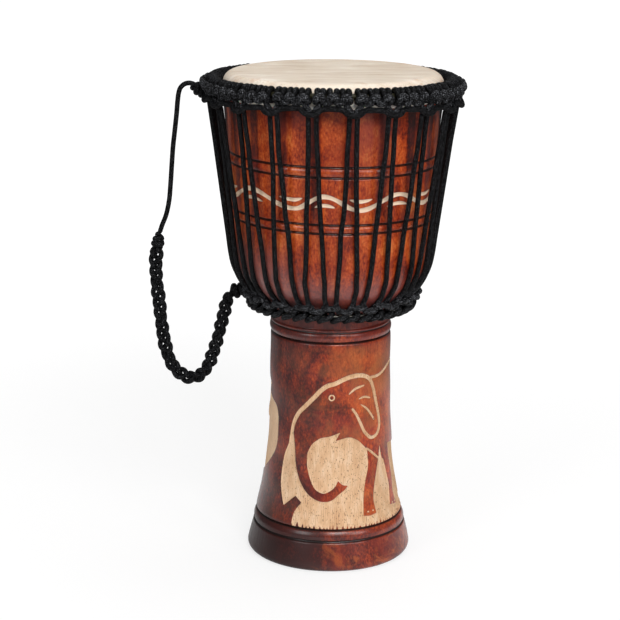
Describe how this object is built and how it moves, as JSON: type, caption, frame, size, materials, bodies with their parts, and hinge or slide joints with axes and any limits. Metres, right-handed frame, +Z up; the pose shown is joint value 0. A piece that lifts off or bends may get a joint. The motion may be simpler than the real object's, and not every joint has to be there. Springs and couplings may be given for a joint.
{
  "type": "goblet hand drum",
  "caption": "Rope-strung goblet hand drum: carved wooden shell, goatskin head, knotted black rope collar and lacing on steel rings, and a braided carrying strap.",
  "frame": {"origin": "centre of the foot's flat rim, on the floor", "axes": "+Z up along the drum's axis towards the head, -X towards the carrying strap"},
  "size_m": [0.381, 0.315, 0.6],
  "materials": {
    "stained_wood": "mottled reddish-brown stain under satin varnish, pale bare wood in the carving",
    "goatskin": "scraped pale skin, dull, with faint spine marks",
    "ring_steel": "plain drawn rod, dull",
    "black_rope": "woven sheath, matt black"
  },
  "bodies": {
    "drum": {"shell": "stained_wood", "drumhead": "goatskin", "flesh_hoop": "ring_steel", "crown_ring": "ring_steel", "bottom_ring": "ring_steel", "collar_knot_01": "black_rope", "collar_knot_02": "black_rope", "collar_knot_03": "black_rope", "collar_knot_04": "black_rope", "collar_knot_05": "black_rope", "collar_knot_06": "black_rope", "collar_knot_07": "black_rope", "collar_knot_08": "black_rope", "collar_knot_09": "black_rope", "collar_knot_10": "black_rope", "collar_knot_11": "black_rope", "collar_knot_12": "black_rope", "collar_knot_13": "black_rope", "collar_knot_14": "black_rope", "collar_knot_15": "black_rope", "collar_knot_16": "black_rope", "collar_knot_17": "black_rope", "collar_knot_18": "black_rope", "collar_knot_19": "black_rope", "collar_knot_20": "black_rope", "lace_01": "black_rope", "lace_02": "black_rope", "lace_03": "black_rope", "lace_04": "black_rope", "lace_05": "black_rope", "lace_06": "black_rope", "lace_07": "black_rope", "lace_08": "black_rope", "lace_09": "black_rope", "lace_10": "black_rope", "lace_11": "black_rope", "lace_12": "black_rope", "lace_13": "black_rope", "lace_14": "black_rope", "lace_15": "black_rope", "lace_16": "black_rope", "lace_17": "black_rope", "lace_18": "black_rope", "lace_19": "black_rope", "lace_20": "black_rope", "collar_swag": "black_rope", "strap_top_knot": "black_rope", "strap_low_knot": "black_rope"},
    "strap": {"strap_cord": "black_rope", "strap_mid_knot": "black_rope", "strap_braid": "black_rope"}
  },
  "joints": [
    {"name": "strap_swing", "type": "hinge", "parent": "drum", "child": "strap", "pos_m": [-0.1252, 0, 0.327], "axis": [-0.1593, 0, 0.9872], "range_deg": [-90, 90]}
  ]
}
